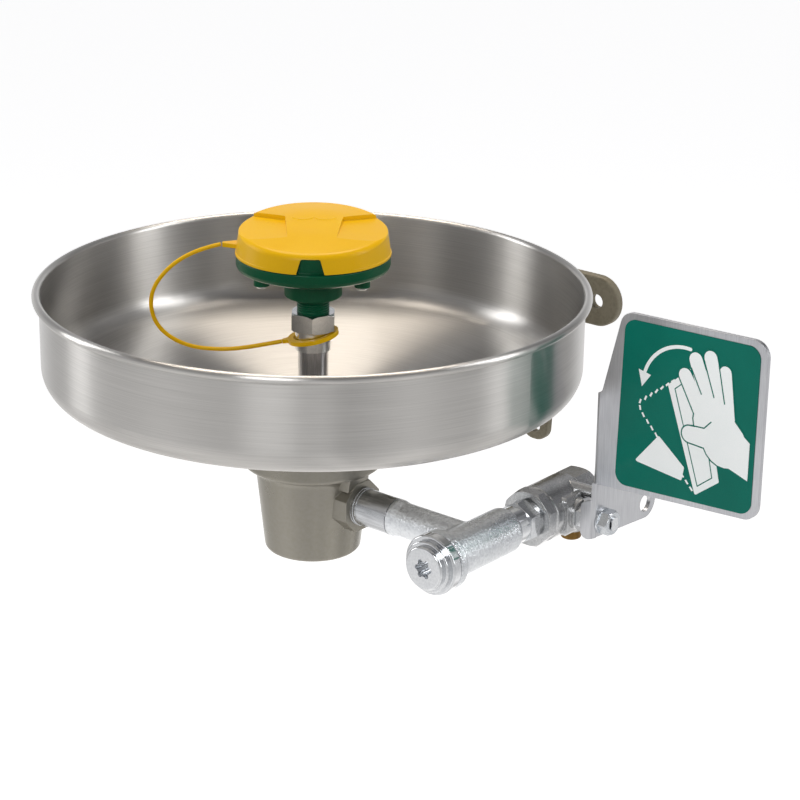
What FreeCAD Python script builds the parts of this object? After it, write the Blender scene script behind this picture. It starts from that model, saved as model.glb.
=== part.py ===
"""Wall-mounted emergency eye and face wash with a stainless bowl.

One STEP file per separate piece, in millimetres, +Z up, +Y into the wall, +X to the user's right.
Pieces are drawn about the bowl's axis with the rim's top at height 0. The last step moves them so that the
origin lies midway between the two upper wall holes, on the back of the wall bracket.
"""

import FreeCAD
import Part
import math
import os

from FreeCAD import Placement, Rotation, Vector

# Where the bowl's axis and rim stand from the wall bracket's upper holes
bowl_reach = 218.0
rim_height = 51.0

# Bowl, spun from sheet with a rolled rim
rim_radius = 155.0
rim_bead_radius = 2.35
bowl_sheet = 1.0
bowl_wall_depth = 53.5
bowl_corner_radius = 14.0
seat_radius = 43.0
seat_depth = 75.0
drain_hole_radius = 24.0

# Drain strainer, its gasket and screws
gasket_thickness = 1.6
grate_thickness = 1.2
grate_radius = 38.0
grate_screw_circle = 33.0
grate_screw_radius = 2.4

# Drain casting
casting_bottom = -157.0
casting_flange_radius = 40.5
casting_flange_bottom = -104.5
casting_neck_radius = 32.8
casting_bottom_radius = 27.3
waste_bore_radius = 19.6
waste_bore_length = 22.0
boss_face = 37.5
boss_across_flats = 28.5
pad_face = 42.5

# Supply line: level of its axis, and the line through strainer and valve, which runs to the wall
supply_level = -122.8
line_x = 118.0
pipe_radius = 10.65
inlet_bore_radius = 9.6

# Strainer body
strainer_radius = 13.0
strainer_collar_radius = 16.8
strainer_front = -32.5
strainer_back = 28.5
arm_radius = 9.8
arm_start = 62.0

# Ball valve
valve_radius = 16.4
valve_front = 46.5
cap_front = 82.5
valve_back = 98.0
stem_y = 73.0
stem_radius = 4.0
ball_radius = 11.0
running_gap = 0.05
seat_gap = 0.3

# Handle, bent from one sheet
handle_sheet = 2.5
lever_inner_x = 148.5
flag_front_y = 64.5
flag_right = 254.0
flag_top = 6.3
flag_bottom = -98.5
pull_hole_y = 115.2
pull_hole_z = -125.5
pull_hole_radius = 5.25

# Riser and spray head; the head is turned about the riser so that its notch looks to the user's right
head_turn = 39.4
riser_radius = 8.55
riser_bore = 6.3
coupling_top = -15.5
coupling_hex_bottom = -25.9
coupling_bottom = -37.5
coupling_across_flats = 23.7
collar_radius = 10.1
head_rim_radius = 42.9
head_wall_radius = 39.9
head_wall_top = 26.3
spray_plate_bottom = 21.5
spray_plate_top = 24.5
post_foot = 13.4
cover_rim = 18.1
cover_rim_radius = 43.3
cover_top = 33.2
cover_tilt = 5.4

# Tether from its ring on the riser coupling to the dust cover
strap_radius = 1.2
ring_tilt = 12.0
ring_level = -30.0
strap_route = [
    (-17.5, -33.7),
    (-31.0, -36.6),
    (-50.0, -39.4),
    (-72.0, -37.5),
    (-88.5, -26.0),
    (-91.5, -7.0),
    (-80.0, 9.5),
    (-63.0, 19.5),
    (-51.0, 22.3),
]

# Wall bracket
plate_thickness = 5.0
ear_radius = 16.0
wall_hole_radius = 4.5
wall_hole_x = 44.0
wall_hole_z = -51.0
lower_hole_z = -143.4
lower_ear_radius = 9.7
arm_top = -80.0

X = Vector(1, 0, 0)
Y = Vector(0, 1, 0)
Z = Vector(0, 0, 1)


def rounded_wire(corners, place, closed=True):
    """Straight runs joined by tangent arcs, through corners given as (across, up, radius)."""
    points = [place(corner[0], corner[1]) for corner in corners]
    radii = [corner[2] if len(corner) > 2 else 0.0 for corner in corners]
    count = len(points)
    arrive, leave, middle = [], [], []
    for i, point in enumerate(points):
        is_end = not closed and i in (0, count - 1)
        if radii[i] == 0.0 or is_end:
            arrive.append(point)
            leave.append(point)
            middle.append(None)
            continue
        before = (points[i - 1] - point).normalize()
        after = (points[(i + 1) % count] - point).normalize()
        half = before.getAngle(after) / 2
        reach = radii[i] / math.tan(half)
        arrive.append(point + before * reach)
        leave.append(point + after * reach)
        inward = (before + after).normalize()
        middle.append(point + inward * (radii[i] / math.sin(half) - radii[i]))
    edges = []
    for i in range(count):
        if middle[i] is not None:
            edges.append(Part.Arc(arrive[i], middle[i], leave[i]).toShape())
        if i == count - 1 and not closed:
            break
        following = arrive[(i + 1) % count]
        if leave[i].distanceToPoint(following) > 1e-6:
            edges.append(Part.LineSegment(leave[i], following).toShape())
    return Part.Wire(edges)


def turned(corners, origin=Vector(0, 0, 0), direction=Z):
    """A solid of revolution. Corners are (radius, distance along the axis, rounding)."""
    face = Part.Face(rounded_wire(corners, lambda r, along: Vector(r, 0, along)))
    solid = face.revolve(Vector(0, 0, 0), Z, 360)
    solid.Placement = Placement(origin, Rotation(Z, direction))
    return solid


def plate_xz(corners, front, thickness):
    """A plate that faces the user, from front towards the wall."""
    face = Part.Face(rounded_wire(corners, lambda x, z: Vector(x, front, z)))
    return face.extrude(Y * thickness)


def plate_yz(corners, left, thickness):
    """A plate that faces sideways, from left towards +X."""
    face = Part.Face(rounded_wire(corners, lambda y, z: Vector(left, y, z)))
    return face.extrude(X * thickness)


def plate_xy(corners, bottom, height):
    """A plate that lies flat, from bottom upwards."""
    face = Part.Face(rounded_wire(corners, lambda x, y: Vector(x, y, bottom)))
    return face.extrude(Z * height)


def rod(radius, start, end):
    """A round bar from one point to another."""
    along = end - start
    return Part.makeCylinder(radius, along.Length, start, along)


def pipe(outer, inner, start, end):
    """A round tube from one point to another."""
    return rod(outer, start, end).cut(rod(inner, start, end))


def prism(sides, across_flats, start, end, turn=0.0):
    """A regular bar with flats, from one point to another."""
    radius = across_flats / 2 / math.cos(math.pi / sides)
    ring = []
    for i in range(sides):
        angle = math.radians(turn) + 2 * math.pi * i / sides
        ring.append((radius * math.cos(angle), radius * math.sin(angle)))
    along = end - start
    bar = Part.Face(rounded_wire(ring, lambda a, b: Vector(a, b, 0))).extrude(Z * along.Length)
    bar.Placement = Placement(start, Rotation(Z, along))
    return bar


def joined(first, *others):
    """One solid from several that meet, with the seams between them removed."""
    return first.fuse(list(others)).removeSplitter()


def on_line(y, x=line_x):
    """A point on the axis through strainer and valve."""
    return Vector(x, y, supply_level)


def around(count, radius, height, first=0.0):
    """Points evenly spaced on a circle about the bowl's axis."""
    for i in range(count):
        angle = math.radians(first + 360.0 * i / count)
        yield Vector(radius * math.cos(angle), radius * math.sin(angle), height)


def hex_screw(head_radius, head_height, shank_radius, shank_length, seat, direction):
    """A hexagon-headed screw. The head's underside lies at seat and the shank runs along direction."""
    head = prism(6, head_radius * math.sqrt(3), seat - direction * head_height, seat)
    return joined(head, rod(shank_radius, seat, seat + direction * shank_length))


# ---- Bowl and drain ----


def bowl():
    """Spun sheet: flat seat round the drain, conical floor, upright wall and a rolled rim."""
    line = rim_bead_radius - bowl_sheet / 2
    wall = rim_radius - rim_bead_radius - line
    seat = -seat_depth + bowl_sheet / 2
    corners = [
        (drain_hole_radius, seat),
        (seat_radius, seat, 8.0),
        (wall, -bowl_wall_depth, bowl_corner_radius),
        (wall, -rim_bead_radius),
    ]
    path = rounded_wire(corners, lambda r, z: Vector(r, 0, z), closed=False)
    roll = Vector(rim_radius - rim_bead_radius, 0, -rim_bead_radius)

    def on_roll(degrees):
        angle = math.radians(degrees)
        return roll + Vector(line * math.cos(angle), 0, line * math.sin(angle))

    curl = Part.Arc(on_roll(180), on_roll(40), on_roll(-100)).toShape()
    centre_line = Part.Wire(path.Edges + [curl])
    section = Part.Face(centre_line.makeOffset2D(bowl_sheet / 2, 0, False, False, True))
    sheet = section.revolve(Vector(0, 0, 0), Z, 360)
    for point in around(3, grate_screw_circle, -seat_depth - 1, 90):
        sheet = sheet.cut(rod(grate_screw_radius + 0.2, point, point + Z * 4))
    return sheet


def drain_grate():
    """Perforated disc that stops debris and lets the waste past the riser."""
    bottom = -seat_depth + bowl_sheet
    disc = turned(
        [
            (riser_radius + 0.4, bottom),
            (grate_radius, bottom),
            (grate_radius, bottom + grate_thickness, 0.5),
            (riser_radius + 0.4, bottom + grate_thickness),
        ]
    )
    holes = []
    for count, circle in ((10, 14.5), (16, 20.5)):
        for point in around(count, circle, bottom - 1):
            holes.append(rod(1.9, point, point + Z * 4))
    for point in around(3, grate_screw_circle, bottom - 1, 90):
        holes.append(rod(grate_screw_radius + 0.2, point, point + Z * 4))
    return disc.cut(holes)


def drain_gasket():
    """Flat rubber ring between the bowl's seat and the casting."""
    bottom = -seat_depth - gasket_thickness
    ring = pipe(39.5, drain_hole_radius + 1, Vector(0, 0, bottom), Vector(0, 0, -seat_depth))
    for point in around(3, grate_screw_circle, bottom - 1, 90):
        ring = ring.cut(rod(grate_screw_radius + 0.2, point, point + Z * 4))
    return ring


def grate_screws():
    """Three countersunk-style screws that clamp grate, bowl and gasket to the casting."""
    seat = -seat_depth + bowl_sheet + grate_thickness
    screws = []
    for point in around(3, grate_screw_circle, seat, 90):
        head = turned([(0, 0), (4.4, 0), (4.4, 2.4, 1.6), (0, 2.4)], point)
        screws.append(joined(head, rod(grate_screw_radius, point - Z * 12, point)))
    return Part.makeCompound(screws)


def drain_casting():
    """Cast body: bowl flange, waste cavity and outlet, side boss for the supply and pad for the arm."""
    top = -seat_depth - gasket_thickness
    body = turned(
        [
            (0, top),
            (casting_flange_radius, top, 1.0),
            (casting_flange_radius, casting_flange_bottom, 2.5),
            (casting_neck_radius, casting_flange_bottom - 2, 6.0),
            (casting_bottom_radius, casting_bottom, 3.0),
            (0, casting_bottom),
        ]
    )
    side = Vector(0, 0, supply_level)
    boss = prism(8, boss_across_flats, side + X * 18, side + X * boss_face, 22.5)
    gusset = plate_xz([(18, -84), (39.5, -84), (39.5, -95), (boss_face - 1, -112), (18, -112)], -11.5, 16)
    pad = plate_xz([(-22, -80, 3), (22, -80, 3), (22, -111, 5), (-22, -111, 5)], 14, pad_face - 14)
    body = joined(body, boss, gusset, pad)
    cavity = turned(
        [
            (0, top + 1),
            (24.5, top + 1),
            (24.5, -112, 6),
            (21.5, -129, 3),
            (21.5, casting_bottom + waste_bore_length, 0.5),
            (waste_bore_radius, casting_bottom + waste_bore_length),
            (waste_bore_radius, casting_bottom - 1),
            (0, casting_bottom - 1),
        ]
    )
    hub = turned([(0, -86), (12.0, -86, 1.5), (12.0, -133, 5), (0, -133)])
    bridge = rod(11.4, side, side + X * 26)
    waste_way = cavity.cut(hub.fuse(bridge))
    riser_bore_cut = rod(riser_radius + 0.05, Vector(0, 0, -118), Vector(0, 0, -80))
    passage = rod(6.3, Vector(0, 0, supply_level), Vector(0, 0, -117))
    channel = rod(6.3, side - X * 1, side + X * (boss_face + 1))
    thread = rod(pipe_radius + 0.05, side + X * 24, side + X * (boss_face + 1))
    solid = body.cut([waste_way, riser_bore_cut, passage, channel, thread])
    for point in around(3, grate_screw_circle, top - 11.5, 90):
        solid = solid.cut(rod(grate_screw_radius + 0.1, point, point + Z * 14))
    for x in (-15, 15):
        solid = solid.cut(rod(3.6, Vector(x, 29, -97), Vector(x, pad_face + 1, -97)))
    return solid.removeSplitter()


# ---- Wall bracket ----


def wall_plate():
    """Cast plate with two upper ears and a lower ear."""
    ear_x = wall_hole_x + ear_radius
    ear_top = wall_hole_z + ear_radius
    ear_bottom = wall_hole_z - ear_radius
    round_end = ear_radius - 0.01
    front = bowl_reach - plate_thickness
    plate = plate_xz(
        [
            (-ear_x, ear_top, round_end),
            (ear_x, ear_top, round_end),
            (ear_x, ear_bottom, round_end),
            (lower_ear_radius + 4, ear_bottom, 12.0),
            (lower_ear_radius, lower_hole_z - lower_ear_radius, lower_ear_radius - 0.8),
            (-lower_ear_radius, lower_hole_z - lower_ear_radius, lower_ear_radius - 0.8),
            (-lower_ear_radius - 4, ear_bottom, 12.0),
            (-ear_x, ear_bottom, round_end),
        ],
        front,
        plate_thickness,
    )
    front_edges = [e for e in plate.Edges if all(abs(v.Y - front) < 0.01 for v in e.Vertexes)]
    plate = plate.makeFillet(1.4, front_edges)
    for x, z in ((-wall_hole_x, wall_hole_z), (wall_hole_x, wall_hole_z), (0, lower_hole_z)):
        plate = plate.cut(rod(wall_hole_radius, Vector(x, front - 1, z), Vector(x, bowl_reach + 1, z)))
    return plate


def bracket_arm():
    """Arm of T section, welded to the wall plate, with a flange that the drain casting is screwed to."""
    foot, end = pad_face, bowl_reach - plate_thickness
    flange = plate_xz([(-24, arm_top, 4), (24, arm_top, 4), (24, -111, 6), (-24, -111, 6)], foot, 7)
    web = plate_yz(
        [(foot + 6, arm_top), (end, arm_top), (end, -118), (end - 30, -108, 40), (foot + 6, -104)],
        -5,
        10,
    )
    shelf = plate_xy(
        [(-20, foot + 6), (20, foot + 6), (14.5, end), (-14.5, end)],
        arm_top - 6,
        6,
    )
    arm = joined(flange, web, shelf)
    for x in (-15, 15):
        arm = arm.cut(rod(4.2, Vector(x, foot - 1, -97), Vector(x, foot + 8, -97)))
    return arm


def bracket_screws():
    """Two hexagon screws that hold the arm to the drain casting."""
    screws = []
    for x in (-15, 15):
        screws.append(hex_screw(7.2, 5.3, 3.55, 18, Vector(x, pad_face + 7, -97), -Y))
    return Part.makeCompound(screws)


# ---- Supply line, strainer and valve ----


def supply_nipple():
    """Short pipe screwed into the casting's side boss."""
    start = Vector(24.5, 0, supply_level)
    return pipe(pipe_radius, 8.2, start, Vector(arm_start, 0, supply_level))


def strainer_body():
    """Rough cast tee: a collar for the plug, a barrel along the line and a side arm to the bowl."""
    barrel = turned(
        [
            (0, strainer_front),
            (strainer_collar_radius, strainer_front, 0.8),
            (strainer_collar_radius, strainer_front + 5.5, 1.5),
            (strainer_radius, strainer_front + 7.5, 1.5),
            (strainer_radius, strainer_back, 4.5),
            (0, strainer_back),
        ],
        on_line(0),
        Y,
    )
    arm = turned(
        [
            (0, arm_start - 5),
            (8.1, arm_start - 5),
            (8.1, arm_start + 0.2),
            (pipe_radius, arm_start + 0.2, 0.5),
            (pipe_radius, arm_start + 2.5, 2.0),
            (arm_radius, arm_start + 6.5, 4.0),
            (arm_radius, line_x),
            (0, line_x),
        ],
        Vector(0, 0, supply_level),
        X,
    )
    tee = joined(barrel, arm)
    meeting = []
    for edge in tee.Edges:
        box = edge.BoundBox
        spans_arm = box.YMin < -arm_radius + 0.5 and box.YMax > arm_radius - 0.5
        if spans_arm and box.XMin > line_x - strainer_radius - 0.1 and box.XMax < line_x:
            meeting.append(edge)
    tee = tee.makeFillet(5.0, meeting)
    bore = turned(
        [
            (0, strainer_front - 1),
            (pipe_radius + 0.05, strainer_front - 1),
            (pipe_radius + 0.05, strainer_front + 11),
            (9.4, strainer_front + 11),
            (9.4, strainer_back - 12),
            (pipe_radius + 0.05, strainer_back - 12),
            (pipe_radius + 0.05, strainer_back + 1),
            (0, strainer_back + 1),
        ],
        on_line(0),
        Y,
    )
    side_bore = rod(6.3, Vector(arm_start - 6, 0, supply_level), on_line(0))
    return tee.cut([bore, side_bore])


def strainer_plug():
    """Turned plug with three steps and a six-lobed key socket, for cleaning the screen."""
    plug = turned(
        [
            (0, -45.0),
            (12.3, -45.0, 1.2),
            (12.3, -42.2),
            (14.4, -42.2, 0.8),
            (14.4, -39.2),
            (16.9, -39.2, 1.0),
            (16.9, strainer_front - 0.5, 0.8),
            (10.5, strainer_front - 0.5),
            (10.5, strainer_front + 10),
            (0, strainer_front + 10),
        ],
        on_line(0),
        Y,
    )
    socket = rod(4.3, on_line(-46), on_line(-37))
    for i in range(6):
        angle = math.radians(60 * i)
        lobe = on_line(-46) + Vector(4.3 * math.cos(angle), 0, 4.3 * math.sin(angle))
        socket = socket.fuse(rod(1.35, lobe, lobe + Y * 9))
    well = rod(7.5, on_line(strainer_front + 4), on_line(strainer_front + 11))
    return plug.cut([socket, well])


def plug_gasket():
    """Fibre washer under the plug's flange."""
    return pipe(15.6, 10.8, on_line(strainer_front - 0.5), on_line(strainer_front))


def strainer_screen():
    """Perforated tube that catches scale before the valve."""
    first, last = strainer_front + 10.5, strainer_back - 13
    screen = pipe(8.6, 7.9, on_line(first), on_line(last))
    holes = []
    for row in range(7):
        y = first + 4 + row * 4
        for i in range(4):
            angle = math.radians(45 * i + 22.5 * (row % 2))
            side = Vector(math.cos(angle), 0, math.sin(angle)) * 10
            holes.append(rod(1.0, on_line(y) - side, on_line(y) + side))
    return screen.cut(holes)


def valve_nipple():
    """Plated nipple with a hexagon, between strainer and valve."""
    outside = turned(
        [
            (0, strainer_back - 11),
            (pipe_radius - 0.05, strainer_back - 11),
            (pipe_radius - 0.05, valve_front + 9),
            (0, valve_front + 9),
        ],
        on_line(0),
        Y,
    )
    hexagon = prism(6, 21.6, on_line(36.5), on_line(44.5), 30)
    chamfer = turned([(0, 36), (11.4, 36), (12.6, 37.4), (12.6, 43.6), (11.4, 45), (0, 45)], on_line(0), Y)
    bore = rod(7.4, on_line(strainer_back - 12), on_line(valve_front + 10))
    return joined(outside, hexagon.common(chamfer)).cut(bore)


def valve_body():
    """Forged valve body: octagon at the outlet, round barrel, and a boss for the stem."""
    octagon = prism(8, 31.4, on_line(valve_front), on_line(valve_front + 6.5), 22.5)
    chamfer = turned(
        [(0, 46), (15.4, 46), (17.6, 48.5), (17.6, 60), (0, 60)],
        on_line(0),
        Y,
    )
    barrel = turned(
        [(0, 52), (15.0, 52), (valve_radius, 54.5, 1.5), (valve_radius, cap_front), (0, cap_front)],
        on_line(0),
        Y,
    )
    stem_line = on_line(stem_y)
    boss = rod(9.4, stem_line, stem_line + X * 19.5)
    pad = plate_yz(
        [(61, -111.5, 2), (cap_front, -111.5), (cap_front, -134), (61, -134, 2)],
        line_x + 6,
        11.5,
    )
    lug_centre = stem_line + Vector(0, 5.9, 12.0)
    lug = rod(3.4, lug_centre + X * 6, lug_centre + X * 22.8)
    body = joined(octagon.common(chamfer), barrel, boss, pad.common(rod(19.0, on_line(60), on_line(86))), lug)
    chamber = turned(
        [
            (0, valve_front - 1),
            (pipe_radius, valve_front - 1),
            (pipe_radius, valve_front + 9.2),
            (7.4, valve_front + 9.2),
            (7.4, stem_y - 12.6),
            (ball_radius + 0.6, stem_y - 12.6),
            (ball_radius + 0.6, cap_front + 1),
            (0, cap_front + 1),
        ],
        on_line(0),
        Y,
    )
    stem_bore = rod(stem_radius + running_gap, stem_line, stem_line + X * 20)
    packing_bore = rod(6.5, stem_line + X * 14.5, stem_line + X * 20)
    return body.cut([chamber, stem_bore, packing_bore])


def valve_end_cap():
    """Inlet end: eight flats for a wrench, the threaded supply inlet and a boss for the bleed plug."""
    octagon = prism(8, 31.0, on_line(cap_front), on_line(valve_back), 22.5)
    chamfer = turned(
        [(0, 80), (17.6, 80), (17.6, valve_back - 2.5), (15.4, valve_back), (0, valve_back)],
        on_line(0),
        Y,
    )
    boss = rod(6.9, on_line(90), on_line(90) - Z * 19.2)
    bore = turned(
        [
            (0, cap_front - 1),
            (ball_radius + 0.6, cap_front - 1),
            (ball_radius + 0.6, stem_y + 12.6),
            (inlet_bore_radius, stem_y + 12.6),
            (inlet_bore_radius, valve_back + 1),
            (0, valve_back + 1),
        ],
        on_line(0),
        Y,
    )
    bleed = rod(4.6, on_line(90), on_line(90) - Z * 20)
    return joined(octagon.common(chamfer), boss).cut([bore, bleed])


def bleed_plug():
    """Brass plug in the underside of the end cap."""
    top = -11.5
    plug = turned(
        [(0, top), (4.55, top), (4.55, -19.4), (6.0, -19.4), (6.0, -24.8, 1.4), (0, -24.8)],
        on_line(90),
    )
    return plug.cut(prism(6, 4.0, on_line(90) - Z * 26, on_line(90) - Z * 21.5))


def valve_ball():
    """Bored ball. Its bore stands upright while the valve is shut."""
    centre = on_line(stem_y)
    ball = Part.makeSphere(ball_radius, centre)
    bore = rod(6.4, centre - Z * 12, centre + Z * 12)
    slot = Part.makeBox(5, 3.2, 12, centre + Vector(8.4, -1.6, -6))
    return ball.cut([bore, slot])


def ball_seats():
    """Two rings that the ball turns between."""
    rings = []
    for near, far in ((-12.5, -7.2), (7.2, 12.5)):
        ring = pipe(ball_radius + 0.5, 7.4, on_line(stem_y + near), on_line(stem_y + far))
        rings.append(ring.cut(Part.makeSphere(ball_radius + seat_gap, on_line(stem_y))))
    return Part.makeCompound(rings)


def valve_stem():
    """Stem with a tang in the ball, a shoulder behind the handle and a thread for the nut."""
    centre = on_line(stem_y)
    tang = Part.makeBox(4.0, 3.0, 7.2, centre + Vector(8.6, -1.5, -3.6))
    shank = rod(stem_radius, centre + X * 12.4, centre + X * 41.4)
    shoulder = rod(5.5, centre + X * 24.0, centre + X * (lever_inner_x - line_x))
    stem = joined(tang, shank, shoulder)
    for side in (-1, 1):
        flat = Part.makeBox(9, 4, 12, centre + Vector(34.5, -2 + side * 4.9, -6))
        stem = stem.cut(flat)
    return stem


def stem_packing():
    """Packing rings round the stem."""
    start = on_line(stem_y) + X * 14.6
    return pipe(6.4, stem_radius + running_gap, start, start + X * 4.4)


def gland_nut():
    """Hexagon nut that squeezes the packing."""
    face = on_line(stem_y) + X * 19.6
    nut = prism(6, 15.0, face, face + X * 3.6)
    skirt = rod(6.4, face - X * 0.5, face)
    return joined(nut, skirt).cut(rod(stem_radius + 0.1, face - X, face + X * 5))


# ---- Handle ----


def handle_lever():
    """Side plate, flag to push and stop tab, bent from one stainless sheet."""
    outer_x = lever_inner_x + handle_sheet
    back_y = flag_front_y + handle_sheet
    bend = 3.0
    flag_bend = plate_xy(
        [
            (lever_inner_x, flag_front_y, bend),
            (flag_right, flag_front_y),
            (flag_right, back_y),
            (outer_x, back_y, 0.5),
            (outer_x, 126),
            (lever_inner_x, 126),
        ],
        flag_bottom,
        110,
    )
    tab_bend = plate_xy(
        [
            (141.8, flag_front_y),
            (outer_x, flag_front_y, bend),
            (outer_x, 126),
            (lever_inner_x, 126),
            (lever_inner_x, back_y, 0.5),
            (141.8, back_y),
        ],
        -136,
        136 + flag_bottom,
    )
    flag_outline = [
        (lever_inner_x, flag_bottom),
        (flag_right, flag_bottom + 6.0, 9.0),
        (flag_right, flag_top + 0.5, 9.0),
        (164.0, flag_top - 1.8, 8.0),
        (152.5, -43.5, 2.0),
        (lever_inner_x, -46),
    ]
    tab_outline = [
        (141.8, -112, 3.0),
        (lever_inner_x + 0.2, -109, 2.0),
        (lever_inner_x + 0.2, -99.5, 0.5),
        (outer_x, -98),
        (outer_x, -131.5),
        (141.8, -134.5, 4.5),
    ]
    side_outline = [
        (flag_front_y, -46),
        (flag_front_y + 9, -46, 8.0),
        (pull_hole_y + 10, -112, 12.0),
        (pull_hole_y + 10, -135.3, 9.5),
        (flag_front_y, -131.0),
    ]
    bent = flag_bend.fuse(tab_bend)
    faces_user = plate_xz(flag_outline, 60, back_y + 0.3 - 60)
    faces_user = faces_user.fuse(plate_xz(tab_outline, 60, back_y + 0.3 - 60))
    faces_side = plate_yz(side_outline, lever_inner_x, handle_sheet)
    lever = bent.common(faces_user.fuse(faces_side)).removeSplitter()
    stem = on_line(stem_y)
    lever = lever.cut(rod(stem_radius + 0.02, stem + X * 28, stem + X * 36))
    pull = Vector(lever_inner_x - 1, pull_hole_y, pull_hole_z)
    return lever.cut(rod(pull_hole_radius, pull, pull + X * 6))


def handle_washer():
    """Spring washer under the handle nut."""
    face = on_line(stem_y, lever_inner_x + handle_sheet)
    return pipe(7.6, stem_radius + 0.1, face, face + X * 1.2)


def handle_nut():
    """Nut on the end of the stem."""
    face = on_line(stem_y, lever_inner_x + handle_sheet + 1.2)
    nut = prism(6, 13.0, face, face + X * 6.2, 30)
    chamfer = turned([(0, 0), (7.5, 0), (7.5, 4.9), (6.4, 6.2), (0, 6.2)], face, X)
    return nut.common(chamfer).cut(rod(stem_radius + 0.02, face - X, face + X * 8))


def flag_label():
    """Thin plate on the front of the flag, for its printed instruction."""
    corners = [
        (163.5, -94.3, 7.0),
        (249.8, -89.8, 7.0),
        (249.8, 3.2, 7.0),
        (165.8, 1.2, 7.0),
    ]
    return plate_xz(corners, flag_front_y - 0.4, 0.4)


# ---- Riser and head, drawn with the notch towards the user and turned at the end ----


def riser_pipe():
    """Pipe from the drain casting's hub to the coupling."""
    return pipe(riser_radius, riser_bore, Vector(0, 0, -117.5), Vector(0, 0, -24))


def riser_coupling():
    """Plated coupling with a hexagon above and a round collar below."""
    hex_foot, hex_top = Vector(0, 0, coupling_hex_bottom), Vector(0, 0, coupling_top)
    hexagon = prism(6, coupling_across_flats, hex_foot, hex_top, 30)
    half = coupling_across_flats / 2
    chamfer = turned(
        [
            (0, coupling_hex_bottom),
            (half + 0.3, coupling_hex_bottom),
            (half + 2, coupling_hex_bottom + 1),
            (half + 2, coupling_top - 1),
            (half + 0.3, coupling_top),
            (0, coupling_top),
        ]
    )
    collar = rod(collar_radius, Vector(0, 0, coupling_bottom), Vector(0, 0, coupling_hex_bottom))
    lower = rod(riser_radius + 0.05, Vector(0, 0, coupling_bottom - 1), Vector(0, 0, -23))
    upper = rod(9.1, Vector(0, 0, -23), Vector(0, 0, coupling_top + 1))
    return joined(hexagon.common(chamfer), collar).cut([lower, upper])


def head_screw_points(height):
    """The four screws are nearer the sides than the front and back."""
    for degrees in (35, 145, 215, 325):
        angle = math.radians(degrees)
        yield Vector(33.6 * math.cos(angle), 33.6 * math.sin(angle), height)


def head_body():
    """Moulded dish with a rim flange, a hub and a threaded shank."""
    thread = []
    crest, root, pitch = 9.05, 8.4, 1.4
    for i in range(6):
        z = -16.4 + i * pitch
        thread += [(root, z), (crest, z + pitch * 0.4), (crest, z + pitch * 0.6)]
    dish = turned(
        [(6.2, -21.5), (root, -21.5)]
        + thread
        + [
            (root, -6.4),
            (16.1, -6.4, 1.0),
            (16.1, 5.5, 2.0),
            (37.0, 8.6, 3.0),
            (42.2, 10.6, 1.2),
            (head_rim_radius, 12.6, 0.8),
            (head_rim_radius, 17.8, 0.6),
            (head_wall_radius, 17.8, 0.4),
            (head_wall_radius, head_wall_top, 0.6),
            (38.6, head_wall_top),
            (38.6, 20.5),
            (36.6, 20.5),
            (36.6, 12.2, 2.0),
            (14.0, 9.0, 1.5),
            (14.0, 0.0),
            (12.0, 0.0),
            (12.0, -3.2),
            (6.2, -3.2),
        ]
    )
    bosses = [rod(4.4, point, point + Z * 7) for point in head_screw_points(5.0)]
    dish = joined(dish, *bosses)
    return dish.cut([rod(1.6, point, point + Z * 16) for point in head_screw_points(4.0)])


def spray_plate():
    """Disc with rings of spray holes, and posts that take the screws."""
    plate = turned(
        [
            (0, spray_plate_bottom),
            (38.4, spray_plate_bottom),
            (38.4, spray_plate_top, 0.6),
            (10.0, spray_plate_top, 3.0),
            (7.0, spray_plate_top + 2.0, 3.0),
            (0, spray_plate_top + 2.0),
        ]
    )
    post_height = spray_plate_bottom - post_foot
    posts = [rod(2.9, point, point + Z * post_height) for point in head_screw_points(post_foot)]
    plate = joined(plate, *posts)
    holes = [rod(1.45, point, point + Z * 9) for point in head_screw_points(12.0)]
    for count, circle in ((8, 13.0), (14, 20.0), (20, 27.0), (24, 34.5)):
        for point in around(count, circle, spray_plate_bottom - 1, 4.0):
            holes.append(rod(0.9, point, point + Z * 6))
    return plate.cut(holes)


def head_gasket():
    """Rubber ring between dish and spray plate."""
    return pipe(38.4, 36.8, Vector(0, 0, 20.5), Vector(0, 0, spray_plate_bottom))


def flow_control():
    """Disc with orifices that evens out the flow."""
    disc = rod(11.9, Vector(0, 0, -3.1), Vector(0, 0, -0.1))
    holes = [rod(1.3, point, point + Z * 5) for point in around(6, 4.4, -4)]
    holes.append(rod(1.6, Vector(0, 0, -4), Vector(0, 0, 1)))
    return disc.cut(holes)


def head_screws():
    """Four screws from below."""
    screws = []
    for point in head_screw_points(5.0):
        head = turned([(0, -1.6), (2.9, -1.6, 0.9), (2.9, 0), (0, 0)], point)
        screws.append(joined(head, rod(1.4, point, point + Z * 15)))
    return Part.makeCompound(screws)


def finger_recess(side):
    """The space over a sloping floor that a finger reaches into, ahead of a low step."""
    step_inner = Vector(side * 16, 11, 33.5)
    step_outer = Vector(side * 32, 21, 32.5)
    front = Vector(side * 22, -25, 31.7)
    normal = (step_outer - step_inner).cross(front - step_inner) * -side
    above = Part.makeBox(140, 140, 20, Vector(-70, -70, 0))
    above.Placement = Placement(step_inner, Rotation(Z, normal))
    plan = [(side * 16, 11), (side * 60, 38.5), (side * 70, -60), (side * 10, -60)]
    return above.common(plate_xy(plan, 20, 40))


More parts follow.
